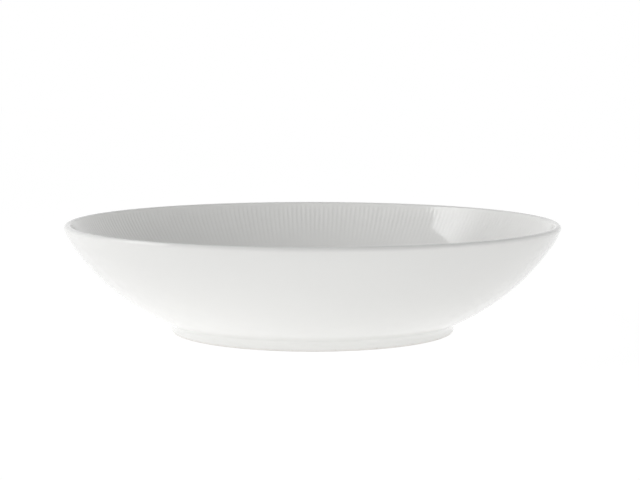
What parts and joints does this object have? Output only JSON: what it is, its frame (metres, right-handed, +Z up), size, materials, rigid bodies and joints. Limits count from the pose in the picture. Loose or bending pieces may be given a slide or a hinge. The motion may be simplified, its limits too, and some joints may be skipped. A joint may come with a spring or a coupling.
{
  "type": "bowl",
  "caption": "Wide shallow white porcelain bowl with a rounded lip, fine radial relief on the inside wall and a low foot ring, for serving pasta, salad or soup.",
  "frame": {"origin": "centre of the foot ring's standing face, on the bowl's axis", "axes": "+Z up along the bowl's axis; the bowl is round about it, so +X and +Y are any two directions square to it"},
  "size_m": [0.25, 0.25, 0.055],
  "materials": {
    "fired_clay": "fired porcelain, matt",
    "ground_clay": "bare porcelain, ground smooth",
    "relief_glaze": "gloss glaze over relief",
    "white_glaze": "gloss white glaze"
  },
  "bodies": {
    "root": {"clay_body": "fired_clay", "foot_ring": "ground_clay", "relief_ribs": "relief_glaze", "inner_glaze": "white_glaze", "outer_glaze": "white_glaze", "base_glaze": "white_glaze"}
  },
  "joints": []
}
